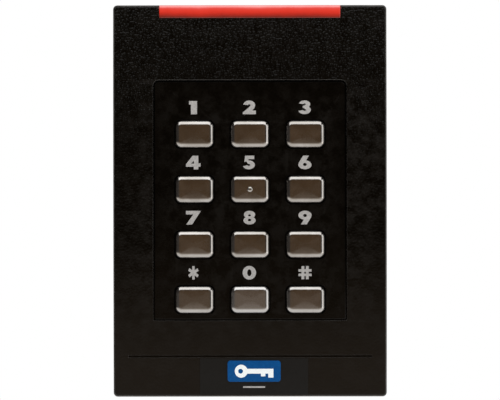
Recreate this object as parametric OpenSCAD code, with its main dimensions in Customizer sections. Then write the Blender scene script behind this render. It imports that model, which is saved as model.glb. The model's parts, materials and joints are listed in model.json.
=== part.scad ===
// Wall-mounted keypad access reader.
// Every piece is drawn lying on its back: x to the right, y up the wall, z away from the wall.
// upright() then stands it up, so that +Z is up, the wall is the plane Y = 0 and the front faces -Y.

/* [Case] */
// Width of the case
case_w = 84.8; // [83:0.2:86]
// Height of the case
case_h = 121.5; // [119:0.5:123]
// Distance from the wall to the crown of the front face
case_d = 27.3; // [27:0.1:28]
// Radius of the four corners seen from the front
corner_r = 1.3; // [0.8:0.1:2.4]
// Radius of the arc that the front face follows from bottom to top
crown_r = 1100; // [900:50:1500]
// Height above the middle at which the front face is proudest
crown_y = 12; // [8:1:16]
// Thickness of the case walls
wall = 2.2; // [2:0.1:2.4]
// Gap between the wall and the edge of the case
rim_gap = 0.6; // [0.3:0.1:1]

/* [Keypad] */
// Distance between the middles of two columns of keys
column_pitch = 17.2; // [17:0.1:17.4]
// Distance between the middles of two rows of keys
row_pitch = 17.1; // [17:0.1:17.3]
// Height of the top row of keys above the middle
top_row_y = 20.7; // [20.4:0.1:21]
// Width of a key
key_w = 11.9; // [11.5:0.1:12.2]
// Height of a key
key_h = 8.4; // [8:0.1:8.6]
// Distance that a key stands above the keypad panel
key_proud = 1.75; // [1.4:0.05:2]
// Width of the bevel round a key's face
key_bevel = 1.2; // [0.6:0.1:1.3]
// Depth of the bevel round a key's face
key_bevel_d = 0.8; // [0.4:0.1:1]
// Travel of a key
key_travel = 0.8; // [0.5:0.1:0.8]
// Gap around a key in the panel
key_gap = 0.35; // [0.2:0.05:0.45]
// Width of the keypad panel
panel_w = 59.9; // [59:0.1:60.5]
// Radius of the panel's upper corners
panel_r = 1.6; // [1:0.1:2.4]
// Height of the numerals
legend_h = 4.25; // [3.75:0.05:4.75]

/* [Light bar] */
// Width of the light bar
bar_w = 56.1; // [54:0.1:58]
// Height of the light bar seen from the front
bar_h = 3.5; // [2.8:0.1:3.6]
// Depth of the light bar along the top of the case
bar_d = 6; // [5:0.1:7]

/* [Label] */
// Width of the label below the groove
label_w = 33.5; // [28:0.1:36]
// Width of the badge on the label
badge_w = 16.5; // [14:0.1:18]
// Height of the badge
badge_h = 6.6; // [6:0.1:7]
// Distance of the label and the badge from the middle
label_x = 1.2; // [0:0.1:2]

/* [Wall plate] */
// Spacing of the screw slots for a single-gang box, one above the other
gang_spacing = 83.3; // [83.3]
// Spacing of the screw slots for a round box, side by side
round_box_spacing = 60; // [60]
// Width of a screw slot
slot_w = 4.2; // [3.8:0.1:4.6]
// Length of a screw slot from end to end
slot_l = 8; // [7:0.5:9]
// Thickness of the wall plate
plate_t = 2.4; // [2.2:0.1:2.6]

/* [Hidden] */
$fn = 64;
// Overlap of joined shapes, and reach of a cutter beyond what it cuts
join = 0.1;
reach = 1;

// Front face: a shallow arc, so the panel is flush at its lower edge and sunk at its upper edge
function face_z(y) = case_d - crown_r + sqrt(pow(crown_r, 2) - pow(y - crown_y, 2));

// Keys, as [name, column, row]
KEYS = [
    ["1", 0, 0], ["2", 1, 0], ["3", 2, 0],
    ["4", 0, 1], ["5", 1, 1], ["6", 2, 1],
    ["7", 0, 2], ["8", 1, 2], ["9", 2, 2],
    ["star", 0, 3], ["0", 1, 3], ["hash", 2, 3],
];
function key_at(k) = [(k[1] - 1) * column_pitch, top_row_y - k[2] * row_pitch];

// Keypad panel
panel_top_y = 37.4;
panel_bottom_y = -37;
panel_h = panel_top_y - panel_bottom_y;
panel_y = (panel_top_y + panel_bottom_y) / 2;
panel_t = 1.8;
panel_sink = 0.05;
panel_z = face_z(panel_bottom_y) - panel_sink;
panel_back_z = panel_z - panel_t;
panel_gap = 0.1;
panel_foot_r = 0.3;
panel_foot_h = 10;
legend_rise = 8.35;
legend_shift = -0.15;
print_t = 0.06;

// Keys and the mat under them
key_top_z = panel_z + key_proud;
key_corner_r = 1.6;
key_wall = 1.5;
key_hollow_d = 2.4;
flange_lip = 0.6;
flange_t = 1;
dot_r = 0.85;
dot_h = 0.3;
mat_w = 57;
mat_h = 77;
mat_t = 1.2;
dome_z = 23.2;
dome_wall = 0.6;
nose_gap = 0.1;
nose_h = 1.9;
pill_r = 2;
pill_t = 0.6;
pill_gap = 0.05;
led_window = 3.2;

// Keypad board, screwed to the frame behind the panel
board_t = 1.6;
keyboard_z = 18.6;
keyboard_w = 66;
keyboard_h = 83;
keyboard_y = -0.5;
keyboard_screw_x = 30.7;
keyboard_screw_rows = [-34, 0, 34];
keyboard_screw_r = 0.9;
mat_z = keyboard_z + board_t;
pill_z = mat_z + key_travel + pill_gap;
frame_t = 1.5;
frame_z = panel_back_z - frame_t;
window_w = 2 * column_pitch + key_w + 2 * flange_lip + 5.1;
window_top_y = panel_top_y - 2.2;
window_bottom_y = top_row_y - 3 * row_pitch - key_h / 2 - flange_lip - 0.8;

// Inside of the case
inner_w = case_w - 2 * wall;
inner_h = case_h - 2 * wall;
tray_w = inner_w - 0.6;
tray_h = inner_h - 0.6;
tray_z = 5.4;
tray_floor_t = 1.8;
tray_wall = 1.5;
board_z = 12;
board_w = tray_w - 2 * tray_wall - 0.8;
board_h = tray_h - 2 * tray_wall - 0.8;
board_top_z = board_z + board_t;
rail_z = 15;
rail_t = 1.4;
rail_w = 2.8;
case_screw_x = 34.2;
case_screw_y = 52.4;
case_post_r = 3.1;
case_screw_r = 1.15;
case_head_r = 2.5;
case_head_t = 1.9;

// Groove above the label, and what is stuck below it
groove_y = -48.2;
groove_w = 75.5;
groove_t = 0.7;
groove_d = 0.6;
label_t = 0.1;
label_top_y = groove_y - groove_t / 2 - 0.3;
label_bottom_y = 0.7 - case_h / 2;
badge_t = 0.45;
badge_y = -52.8;
badge_r = 0.9;

// Wire bay and terminals
bay_w = 50;
bay_h = 22;
bay_wall = 1.4;
terminal_count = 10;
terminal_pitch = 4.4;
terminal_h = 9;
terminal_z = 5.6;
terminal_y = bay_h / 2 - terminal_h / 2 - 0.4;
terminal_screw_y = terminal_y + 1.2;
terminal_screw_r = 1.45;
terminal_well_d = 3.2;
function terminal_x(i) = (i - (terminal_count - 1) / 2) * terminal_pitch;
tamper_at = [29, -36];
tamper_r = 2.4;

// Light bar leg, which stands over the indicators and presses the seal there
leg_w = 50;
leg_bottom_y = 54;
leg_shoulder = 0.8;
leg_gap = 0.1;
bar_gap = 0.05;

// Flat cable between the boards
ribbon_w = 12;
ribbon_y = -30;
ribbon_t = 0.2;
socket_t = 1.5;
socket_h = 4;

// Screw that locks the case to the wall plate
lock_z = 5.6;
lock_r = 1.7;
lock_head_r = 3;
lock_head_t = 2;
lock_insert_r = 2.7;
lock_boss_w = 11;
lock_pocket_w = 16;
lock_pocket_top_y = -49;
tab_w = 12;
tab_top_y = -50;
tab_bottom_y = -56.2;
tab_top_z = lock_z + lock_insert_r + 0.5;

// Wall plate
plate_w = inner_w - 0.8;
plate_h = inner_h - 1;
rib_w = 1.6;
rib_top_z = plate_t + 1.4;
cable_w = 44;
cable_h = 34;
hook_x = 20;
hook_w = 8;
hook_z = 3.6;
hook_t = 1.4;
hook_reach = 0.7;

KEY_NODES = [for (k = KEYS) str("key_", k[0])];
PILL_NODES = [for (k = KEYS) str("contact_pill_", k[0])];

// ---------------------------------------------------------------- shared shapes

module upright() rotate([90, 0, 0]) children();

module at(x, y, z) translate([x, y, z]) children();

// A rectangle with round corners, centred on the origin
module rounded_rect(w, h, r) {
    square([w - 2 * r, h], center = true);
    square([w, h - 2 * r], center = true);
    for (x = [-1, 1], y = [-1, 1])
        translate([x * (w / 2 - r), y * (h / 2 - r)]) circle(r);
}

module rounded_slab(w, h, r, z, t) at(0, 0, z) linear_extrude(t) rounded_rect(w, h, r);

// A box centred across and up, from height z to z + t
module slab(w, h, z, t) at(-w / 2, -h / 2, z) cube([w, h, t]);

// A box from y0 to y1, centred across
module strip(w, y0, y1, z, t) at(-w / 2, y0, z) cube([w, y1 - y0, t]);

module post(r, z, t) at(0, 0, z) cylinder(r = r, h = t);

// A slot with round ends along y
module slot_y(w, l, z, t) {
    for (s = [-1, 1]) at(0, s * (l - w) / 2, z) cylinder(d = w, h = t);
    slab(w, l - w, z, t);
}

module corners(x, y) for (i = [-1, 1], j = [-1, 1]) translate([i * x, j * y, 0]) children();

// The space under the crowned front face, raised by rise
module under_crown(rise) {
    long = case_w + 20;
    at(-long / 2, crown_y, case_d - crown_r)
        rotate([0, 90, 0]) cylinder(r = crown_r + rise, h = long, $fn = 1440);
}

module case_block() {
    intersection() {
        rounded_slab(case_w, case_h, corner_r, rim_gap, case_d);
        under_crown(0);
    }
}

// A skin of thickness t that follows the front face from rise upwards, cut to the 2D shape given
module face_skin(rise, t) {
    intersection() {
        at(0, 0, case_d - 8) linear_extrude(12) children();
        difference() {
            under_crown(rise + t);
            under_crown(rise);
        }
    }
}

// A cross-headed screw with its head from z to z + head_t and its shank above it
module cross_screw(r, head_r, head_t, z, l) {
    difference() {
        post(head_r, z, head_t);
        at(0, 0, z - reach) linear_extrude(reach + head_t / 2) {
            square([head_r * 1.2, head_r * 0.28], center = true);
            square([head_r * 0.28, head_r * 1.2], center = true);
        }
    }
    post(r, z + head_t, l);
}

// ---------------------------------------------------------------- numerals

// Points along an ellipse, from angle a0 to a1
function arc(c, r, a0, a1, n = 24) =
    [for (i = [0 : n]) let (a = a0 + (a1 - a0) * i / n) [c[0] + r[0] * cos(a), c[1] + r[1] * sin(a)]];

// A bent stroke between two ellipses with one centre
module bow(c, outer, inner, a0, a1) polygon(concat(arc(c, outer, a0, a1), arc(c, inner, a1, a0)));

module oval(c, r) polygon(arc(c, r, 0, 350, 35));

// An oval with an oval hole, whose centres may differ
module eye(c, outer, hole, inner) difference() {
    oval(c, outer);
    oval(hole, inner);
}

module numeral_6() {
    eye([0, -0.8], [2.2, 1.5], [0, -0.7], [0.62, 0.52]);
    polygon([[-2.2, -0.8], [-2.05, -0.1], [-0.6, 2.3], [1.35, 2.3], [0.45, 0.75], [0, -0.15], [-1, -0.5]]);
}

// A numeral or sign 4.6 high, centred on the origin
module numeral(name) {
    if (name == "1") translate([-0.2, 0])
        polygon([[-1.45, 2.15], [1.25, 2.15], [1.25, -2.3], [-0.8, -2.3], [-0.8, 0.95], [-1.45, 0.95]]);
    if (name == "2") {
        bow([-0.05, 0.72], [2, 1.58], [0.42, 0.36], -15, 172);
        polygon([
            [1.9, 0.5], [1.6, -0.3], [0.95, -1.05], [2.15, -1.05], [2.15, -2.3],
            [-2.2, -2.3], [-2.2, -1.7], [-0.1, 0.05], [0.35, 0.6], [1.1, 0.8],
        ]);
    }
    if (name == "3") {
        bow([-0.1, 1.02], [1.9, 1.28], [0.42, 0.28], -90, 168);
        bow([-0.1, -0.88], [2.1, 1.42], [0.46, 0.34], -168, 90);
        translate([-0.7, -0.28]) square([1.1, 0.8]);
    }
    if (name == "4") translate([-0.25, 0]) difference() {
        polygon([
            [-0.2, 2.3], [1.7, 2.3], [1.7, -0.25], [2.45, -0.25], [2.45, -1.4], [1.7, -1.4],
            [1.7, -2.3], [0.15, -2.3], [0.15, -1.4], [-2.45, -1.4], [-2.45, -0.55],
        ]);
        polygon([[0.2, -0.35], [0.2, 0.65], [-0.75, -0.35]]);
    }
    if (name == "5") translate([-0.15, 0]) {
        bow([-0.1, -0.8], [2.05, 1.5], [0.5, 0.34], -162, 116);
        polygon([[-1.3, 2.3], [1.75, 2.3], [1.75, 1.12], [-0.15, 1.12], [-0.2, 0.55], [-1.6, 0.15]]);
    }
    if (name == "6") numeral_6();
    if (name == "7") translate([-0.25, 0])
        polygon([
            [-2.45, 2.3], [2.4, 2.3], [2.4, 2.05], [-0.45, -2.3], [-2.4, -2.3], [0, 1.1], [-2.45, 1.1],
        ]);
    if (name == "8") {
        eye([0, 1], [1.9, 1.3], [0, 0.75], [0.46, 0.32]);
        eye([0, -0.92], [2.05, 1.38], [0, -0.8], [0.56, 0.42]);
    }
    if (name == "9") rotate(180) numeral_6();
    if (name == "0") translate([-0.1, 0]) eye([0, 0], [2.25, 2.3], [0, 0], [0.72, 1.15]);
    if (name == "star") translate([-0.25, 0]) scale([0.8, 1]) for (a = [30, 90, 150])
        rotate(a) square([4.5, 1], center = true);
    if (name == "hash") {
        for (x = [-0.74, 0.74]) translate([x, 0]) square([0.95, 4.4], center = true);
        for (y = [-0.74, 0.74]) translate([0, y]) square([4.4, 0.85], center = true);
    }
}

// ---------------------------------------------------------------- front of the case

// What the light bar fills of the case, with gap to spare
module bar_block(gap) {
    intersection() {
        case_block();
        strip(
            bar_w + 2 * gap, case_h / 2 - bar_h - gap, case_h / 2 + reach,
            case_d - bar_d - gap, bar_d + reach
        );
    }
}

// The keypad panel, or its pocket with gap to spare: its lower corners are nearly square
module panel_slab(gap, t) {
    at(0, panel_y, panel_back_z) linear_extrude(t) {
        rounded_rect(panel_w + 2 * gap, panel_h + 2 * gap, panel_r + gap);
        translate([0, panel_foot_h / 2 - panel_h / 2 - gap])
            rounded_rect(panel_w + 2 * gap, panel_foot_h, panel_foot_r + gap);
    }
}

// Block behind the lower wall that the lock screw passes through
module lock_boss() strip(lock_boss_w, -inner_h / 2 - 0.5, -inner_h / 2 + 1.7, plate_t + 0.3, 6.1);

module case_shell() {
    difference() {
        case_block();
        intersection() {
            slab(inner_w, inner_h, -reach, case_d);
            under_crown(-wall);
        }
    }
}

// Frame behind the keypad panel, with its screw bosses and the rib that holds the mat's edge down
module panel_frame() {
    at(0, panel_y, 0) slab(keyboard_w, panel_h + 6, frame_z, face_z(panel_bottom_y) - frame_z - reach);
    for (x = [-1, 1], y = keyboard_screw_rows)
        at(x * keyboard_screw_x, y, 0) post(2.1, mat_z, frame_z - mat_z + join);
    at(0, keyboard_y, 0) slab(mat_w, mat_h, mat_z + mat_t, frame_z - mat_z - mat_t + join);
}

// Rail that presses the seal onto the tray
module seal_rail() {
    difference() {
        slab(inner_w + reach, inner_h + reach, rail_z, rail_t);
        slab(inner_w - 2 * rail_w, inner_h - 2 * rail_w, rail_z - reach, rail_t + 2 * reach);
    }
}

module front_cover() color([0.06, 0.06, 0.06]) upright() {
    difference() {
        union() {
            case_shell();
            panel_frame();
            seal_rail();
            corners(case_screw_x, case_screw_y) post(case_post_r, rail_z, 10);
            lock_boss();
        }
        // pocket and window for the keypad
        panel_slab(panel_gap, 10);
        strip(window_w, window_bottom_y, window_top_y, mat_z, 10);
        // notch for the light bar and its leg
        bar_block(bar_gap);
        strip(
            leg_w + 0.4, leg_bottom_y - 0.2, inner_h / 2,
            rail_z - reach, case_d - bar_d - rail_z + 2 * reach
        );
        at(0, groove_y, 0) slab(groove_w, groove_t, face_z(groove_y) - groove_d, reach + groove_d);
        // screw holes
        for (x = [-1, 1], y = keyboard_screw_rows)
            at(x * keyboard_screw_x, y, 0) post(keyboard_screw_r + 0.05, mat_z - reach, 4);
        corners(case_screw_x, case_screw_y) post(case_screw_r + 0.05, rail_z - reach, 8);
        // seats for the wall plate's hooks
        for (x = [-1, 1]) at(x * hook_x, inner_h / 2, 0)
            strip(hook_w + 0.6, -reach, hook_reach + 0.4, hook_z - 0.4, hook_t + 0.7);
        // lock screw and its counterbore
        at(0, -case_h / 2 - reach, lock_z) rotate([-90, 0, 0]) cylinder(r = lock_r + 0.2, h = 6);
        at(0, -case_h / 2 - reach, lock_z) rotate([-90, 0, 0])
            cylinder(r = lock_head_r + 0.2, h = wall + reach);
    }
}

module keypad_panel() color([0.03, 0.03, 0.03]) upright() {
    difference() {
        panel_slab(0, panel_t);
        for (k = KEYS) translate(key_at(k)) rounded_slab(
            key_w + 2 * key_gap, key_h + 2 * key_gap, key_corner_r + key_gap,
            panel_back_z - reach, panel_t + 2 * reach
        );
    }
}

module keypad_legends() color([0.75, 0.75, 0.74]) upright() {
    for (k = KEYS) translate(key_at(k) + [legend_shift, legend_rise])
        at(0, 0, panel_z) linear_extrude(print_t) scale(legend_h / 4.6) numeral(k[0]);
}

module light_bar() color([0.85, 0.1, 0.07]) upright() {
    bar_block(0);
    strip(leg_w, leg_bottom_y, inner_h / 2 - leg_gap, rail_z, case_d - bar_d - rail_z + leg_shoulder);
}

module lower_label() color([0.1, 0.1, 0.105]) upright() {
    face_skin(0, label_t) translate([label_x - label_w / 2, label_bottom_y])
        square([label_w, label_top_y - label_bottom_y]);
}

module label_line() color([0.6, 0.6, 0.6]) upright() {
    face_skin(label_t, print_t) translate([label_x, badge_y - 4.95]) square([6.8, 0.5], center = true);
}

module badge() color([0.03, 0.25, 0.55]) upright() {
    face_skin(label_t, badge_t) translate([label_x, badge_y]) rounded_rect(badge_w, badge_h, badge_r);
}

// A plain door key lying on its side
module key_symbol() {
    difference() {
        translate([-4, 0]) circle(2);
        translate([-4.2, 0]) circle(0.75);
    }
    translate([-2.4, -0.75]) square([8.4, 1.5]);
    translate([4.4, -2]) square([1.6, 1.4]);
    translate([2.1, -1.6]) square([1.4, 1]);
}

module badge_symbol() color([0.95, 0.95, 0.95]) upright() {
    face_skin(label_t + badge_t, print_t) translate([label_x, badge_y]) key_symbol();
}

// ---------------------------------------------------------------- keys

// A bar of length l along x whose section is a rectangle with its two upper corners cut off
module bevelled_bar(l, w, t, bevel, bevel_d) {
    shoulder = t - bevel_d;
    translate([-l / 2, 0, 0]) rotate([90, 0, 90]) linear_extrude(l) polygon([
        [-w / 2, 0], [w / 2, 0], [w / 2, shoulder],
        [w / 2 - bevel, t], [bevel - w / 2, t], [-w / 2, shoulder],
    ]);
}

// A rounded slab standing on z = 0 with a bevel all round its upper face
module bevelled_slab(w, h, r, t, bevel, bevel_d) {
    bevelled_bar(w - 2 * r, h, t, bevel, bevel_d);
    rotate(90) bevelled_bar(h - 2 * r, w, t, bevel, bevel_d);
    corners(w / 2 - r, h / 2 - r) {
        cylinder(r = r, h = t - bevel_d);
        at(0, 0, t - bevel_d) cylinder(r1 = r, r2 = r - bevel, h = bevel_d);
    }
}

// The raised dot that marks the middle key
module touch_dot() {
    dome_r = (pow(dot_r, 2) + pow(dot_h, 2)) / (2 * dot_h);
    intersection() {
        at(0, 0, key_top_z + dot_h - dome_r) sphere(dome_r);
        post(dot_r + reach, key_top_z - 2 * join, 2);
    }
}

module key_cap(k) color([0.7, 0.69, 0.67]) upright() translate(key_at(k)) {
    difference() {
        union() {
            at(0, 0, dome_z)
                bevelled_slab(key_w, key_h, key_corner_r, key_top_z - dome_z, key_bevel, key_bevel_d);
            slab(key_w + 2 * flange_lip, key_h + 2 * flange_lip, dome_z, flange_t);
        }
        slab(key_w - 2 * key_wall, key_h - 2 * key_wall, dome_z - reach, key_hollow_d + reach);
    }
    if (k[0] == "5") touch_dot();
}

module contact_pill(k) color([0.12, 0.12, 0.12]) upright()
    translate(key_at(k)) post(pill_r, pill_z, pill_t);

module keypad_mat() color([0.82, 0.83, 0.82]) upright() {
    dome_w = key_w - 0.6;
    dome_h = key_h - 0.6;
    nose_w = key_w - 2 * key_wall - 2 * nose_gap;
    nose_d = key_h - 2 * key_wall - 2 * nose_gap;
    difference() {
        union() {
            at(0, keyboard_y, 0) slab(mat_w, mat_h, mat_z, mat_t);
            for (k = KEYS) translate(key_at(k))
                slab(dome_w, dome_h, mat_z + mat_t - join, dome_z - mat_z - mat_t + join);
        }
        for (k = KEYS) translate(key_at(k)) {
            slab(
                dome_w - 2 * dome_wall, dome_h - 2 * dome_wall,
                mat_z - reach, dome_z - mat_z - dome_wall + reach
            );
            at(0, legend_rise, 0) slab(led_window, led_window, mat_z - reach, mat_t + 2 * reach);
        }
    }
    // core over each contact pill, and nose inside each key
    for (k = KEYS) translate(key_at(k)) {
        post(pill_r + 0.3, pill_z + pill_t, dome_z - pill_z - pill_t);
        slab(nose_w, nose_d, dome_z - join, nose_h + join);
    }
}

// ---------------------------------------------------------------- keypad electronics

module keypad_board() color([0.05, 0.3, 0.16]) upright() {
    difference() {
        at(0, keyboard_y, 0) slab(keyboard_w, keyboard_h, keyboard_z, board_t);
        for (x = [-1, 1], y = keyboard_screw_rows) at(x * keyboard_screw_x, y, 0)
            post(keyboard_screw_r + 0.3, keyboard_z - reach, board_t + 2 * reach);
    }
}

// Gold fingers under each pill, thin enough to stay below it at the end of its travel
module keypad_contacts() color([0.85, 0.68, 0.3]) upright() {
    finger_t = 0.035;
    for (k = KEYS, i = [-2 : 2]) translate(key_at(k)) at(i * 0.75, 0, 0) slab(0.4, 3.4, mat_z, finger_t);
}

module backlight_leds() color([0.95, 0.93, 0.8]) upright() {
    for (k = KEYS) translate(key_at(k) + [0, legend_rise]) slab(2, 1.25, mat_z, 0.7);
}

module keypad_screws() color([0.7, 0.71, 0.72]) upright() {
    head_t = 1.3;
    for (x = [-1, 1], y = keyboard_screw_rows) at(x * keyboard_screw_x, y, 0)
        cross_screw(keyboard_screw_r, 1.9, head_t, keyboard_z - head_t, 3.6);
}

module ribbon_socket(z) color([0.9, 0.88, 0.8]) upright() at(0, ribbon_y, 0) difference() {
    slab(ribbon_w + 5, socket_h, z, socket_t);
    at(0, -1, 0) slab(ribbon_w + 0.3, socket_h - 1, z + socket_t / 2 - ribbon_t, 2 * ribbon_t);
}

// A flat cable that leaves one socket downwards and turns back into the other
module ribbon_cable() color([0.92, 0.9, 0.86]) upright() {
    lower_z = board_top_z + socket_t / 2;
    upper_z = keyboard_z - socket_t / 2;
    turn_r = (upper_z - lower_z) / 2;
    at(-ribbon_w / 2, ribbon_y - 3, (upper_z + lower_z) / 2) rotate([90, 0, 90]) linear_extrude(ribbon_w) {
        difference() {
            circle(turn_r + ribbon_t / 2);
            circle(turn_r - ribbon_t / 2);
            translate([0, -turn_r - reach]) square(2 * (turn_r + reach));
        }
        for (s = [-1, 1]) translate([-join, s * turn_r - ribbon_t / 2]) square([3.4 + join, ribbon_t]);
    }
}

// ---------------------------------------------------------------- main electronics

module main_board() color([0.05, 0.3, 0.16]) upright() {
    notch_w = board_w - 2 * (case_screw_x - case_post_r - 0.4);
    notch_h = board_h - 2 * (case_screw_y - case_post_r - 0.4);
    difference() {
        slab(board_w, board_h, board_z, board_t);
        corners(board_w / 2, board_h / 2) slab(notch_w, notch_h, board_z - reach, board_t + 2 * reach);
    }
}

// Chips, as [x, y, width, height, thickness]
CHIPS = [
    [-12, 8, 10, 10, 1.4], [9, 10, 7, 7, 1.2], [14, -6, 5, 6.2, 1.5],
    [-14, -10, 4, 5, 1.5], [-2, 24, 6, 4, 1],
];
module processor_chips() color([0.08, 0.08, 0.09]) upright() {
    for (c = CHIPS) at(c[0], c[1], 0) slab(c[2], c[3], board_top_z, c[4]);
}

module crystal_can() color([0.75, 0.75, 0.77]) upright()
    at(0, -4, 0) rounded_slab(4.6, 11, 2.2, board_top_z, 2.6);

// Flat winding round the edge of the main board
module reader_coil() color([0.72, 0.4, 0.2]) upright() {
    coil_w = 62;
    coil_h = 96;
    coil_r = 6;
    coil_t = 1.2;
    band = 3;
    hole_w = coil_w - 2 * band;
    hole_h = coil_h - 2 * band;
    difference() {
        rounded_slab(coil_w, coil_h, coil_r, board_top_z, coil_t);
        rounded_slab(hole_w, hole_h, coil_r - band, board_top_z - reach, coil_t + 2 * reach);
    }
}

module indicator_leds() color([0.95, 0.9, 0.85]) upright() {
    for (i = [-2 : 2]) at(i * 10.5, leg_bottom_y + 0.2, 0) slab(3, 1.4, board_top_z, 1.1);
}

module sounder() color([0.1, 0.1, 0.1]) upright() at(18, 30, 0) difference() {
    post(6, board_top_z, 3.2);
    post(1, board_top_z + 2, 3);
}

// ---------------------------------------------------------------- back of the case

module perimeter_seal() color([0.12, 0.12, 0.13]) upright() {
    difference() {
        slab(tray_w, tray_h, board_top_z, rail_z - board_top_z);
        slab(tray_w - 2 * tray_wall, tray_h - 2 * tray_wall, board_top_z - reach, rail_z);
    }
}

module rear_tray() color([0.05, 0.05, 0.055]) upright() {
    pocket_roof_z = tab_top_z + 0.2;
    difference() {
        union() {
            difference() {
                slab(tray_w, tray_h, tray_z, board_top_z - tray_z);
                slab(tray_w - 2 * tray_wall, tray_h - 2 * tray_wall, tray_z + tray_floor_t, board_top_z);
            }
            // collar round the wire bay, and posts that carry the board
            slab(bay_w + 2 * bay_wall, bay_h + 2 * bay_wall, tray_z, board_z - tray_z);
            corners(30, 24) post(2.2, tray_z, board_z - tray_z);
            corners(case_screw_x, case_screw_y) post(case_post_r, tray_z, rail_z - tray_z);
            translate(tamper_at) post(tamper_r + bay_wall, tray_z, board_z - tray_z);
            // wall round the lock pocket
            strip(lock_pocket_w + 2 * bay_wall, -tray_h / 2, lock_pocket_top_y + bay_wall,
                tray_z, pocket_roof_z + 1.2 - tray_z);
        }
        slab(bay_w, bay_h, tray_z - reach, board_z);
        strip(
            lock_pocket_w, -tray_h / 2 - reach, lock_pocket_top_y,
            tray_z - reach, pocket_roof_z - tray_z + reach
        );
        corners(case_screw_x, case_screw_y) {
            post(case_screw_r + 0.25, tray_z - reach, rail_z);
            post(case_head_r + 0.3, tray_z - reach, case_head_t + 0.1 + reach);
        }
        translate(tamper_at) post(tamper_r + 0.2, tray_z - reach, board_z);
    }
}

// Optical sensor that sees the wall plate
module tamper_sensor() color([0.15, 0.02, 0.05]) upright()
    translate(tamper_at) post(tamper_r, tray_z + 0.4, board_z - tray_z - 0.4);

module tray_screws() color([0.7, 0.71, 0.72]) upright() corners(case_screw_x, case_screw_y)
    cross_screw(case_screw_r, case_head_r, case_head_t, tray_z + 0.1, 13);

module terminal_block() color([0.1, 0.42, 0.2]) upright() {
    wire_hole = 3;
    difference() {
        at(0, terminal_y, 0)
            slab(terminal_count * terminal_pitch + 1, terminal_h, terminal_z, board_z - terminal_z);
        for (i = [0 : terminal_count - 1]) at(terminal_x(i), 0, 0) {
            at(0, terminal_screw_y, 0)
                post(terminal_screw_r + 0.15, terminal_z - reach, terminal_well_d + reach);
            at(0, terminal_y - terminal_h / 2, 0) slab(wire_hole, 4, terminal_z + 2.6, 2.6);
        }
    }
}

module terminal_screws() color([0.75, 0.75, 0.73]) upright() {
    screw_t = 1.8;
    screw_z = terminal_z + terminal_well_d - screw_t;
    for (i = [0 : terminal_count - 1]) at(terminal_x(i), terminal_screw_y, 0)
        difference() {
            post(terminal_screw_r, screw_z, screw_t);
            slab(2 * terminal_screw_r + reach, 0.5, screw_z - reach, reach + 0.5);
        }
}

// ---------------------------------------------------------------- wall plate and lock

module screw_slots() {
    for (s = [-1, 1]) {
        at(0, s * gang_spacing / 2, 0) slot_y(slot_w, slot_l, -reach, plate_t + 2 * reach);
        at(s * round_box_spacing / 2, 0, 0) rotate(90) slot_y(slot_w, slot_l, -reach, plate_t + 2 * reach);
    }
}

module plate_hook() {
    foot_y = inner_h / 2 - 3.4;
    strip(hook_w, foot_y, foot_y + 1.8, plate_t - join, hook_z + hook_t - plate_t + join);
    strip(hook_w, foot_y, inner_h / 2 + hook_reach, hook_z, hook_t);
}

module wall_plate() color([0.07, 0.07, 0.075]) upright() {
    rim_w = plate_w - 1;
    rim_h = plate_h - 3;
    rib_h = rib_top_z - plate_t + join;
    difference() {
        union() {
            rounded_slab(plate_w, plate_h, 1.5, 0, plate_t);
            // stiffening rim, and collar round the cable opening
            difference() {
                slab(rim_w, rim_h, plate_t - join, rib_h);
                slab(rim_w - 2 * rib_w, rim_h - 2 * rib_w, plate_t - 2 * join, rib_h + reach);
            }
            slab(cable_w + 2 * rib_w, cable_h + 2 * rib_w, plate_t - join, rib_h);
            // tab that the lock screw pulls on
            strip(tab_w, tab_bottom_y, tab_top_y, plate_t - join, tab_top_z - plate_t + join);
            for (x = [-1, 1]) at(x * hook_x, 0, 0) plate_hook();
        }
        rounded_slab(cable_w, cable_h, 3, -reach, rib_top_z + 2 * reach);
        screw_slots();
        // hollows that keep the moulding thin
        corners(24, 36) slab(24, 26, -reach, 0.8 + reach);
        at(0, (tab_bottom_y + tab_top_y) / 2, lock_z) rotate([90, 0, 0])
            cylinder(r = lock_insert_r, h = 20, center = true);
    }
}

module lock_insert() color([0.78, 0.62, 0.3]) upright()
    at(0, tab_top_y, lock_z) rotate([90, 0, 0]) difference() {
        cylinder(r = lock_insert_r - 0.02, h = tab_top_y - tab_bottom_y);
        at(0, 0, -reach) cylinder(r = lock_r + 0.05, h = 20);
    }

module lock_screw() color([0.6, 0.6, 0.62]) upright() at(0, wall - case_h / 2, lock_z) rotate([90, 0, 0]) {
    shank_l = 8;
    difference() {
        cylinder(r = lock_head_r, h = lock_head_t);
        at(0, 0, 0.7) cylinder(r = 1.45, h = lock_head_t, $fn = 6);
    }
    at(0, 0, -shank_l) cylinder(r = lock_r, h = shank_l + join);
}

// ---------------------------------------------------------------- nodes

front_cover();
keypad_panel();
keypad_legends();
light_bar();
lower_label();
label_line();
badge();
badge_symbol();
keypad_mat();
keypad_board();
keypad_contacts();
backlight_leds();
keypad_screws();
ribbon_socket(keyboard_z - socket_t);  // ribbon_socket_upper
ribbon_socket(board_top_z);  // ribbon_socket_lower
ribbon_cable();
main_board();
processor_chips();
crystal_can();
reader_coil();
indicator_leds();
sounder();
perimeter_seal();
rear_tray();
tray_screws();
terminal_block();
terminal_screws();
tamper_sensor();
wall_plate();
lock_insert();
lock_screw();
for (k = KEYS) key_cap(k);
for (k = KEYS) contact_pill(k);
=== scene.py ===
import json
import math

import bmesh
import bpy
from mathutils import Matrix, Vector

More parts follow.
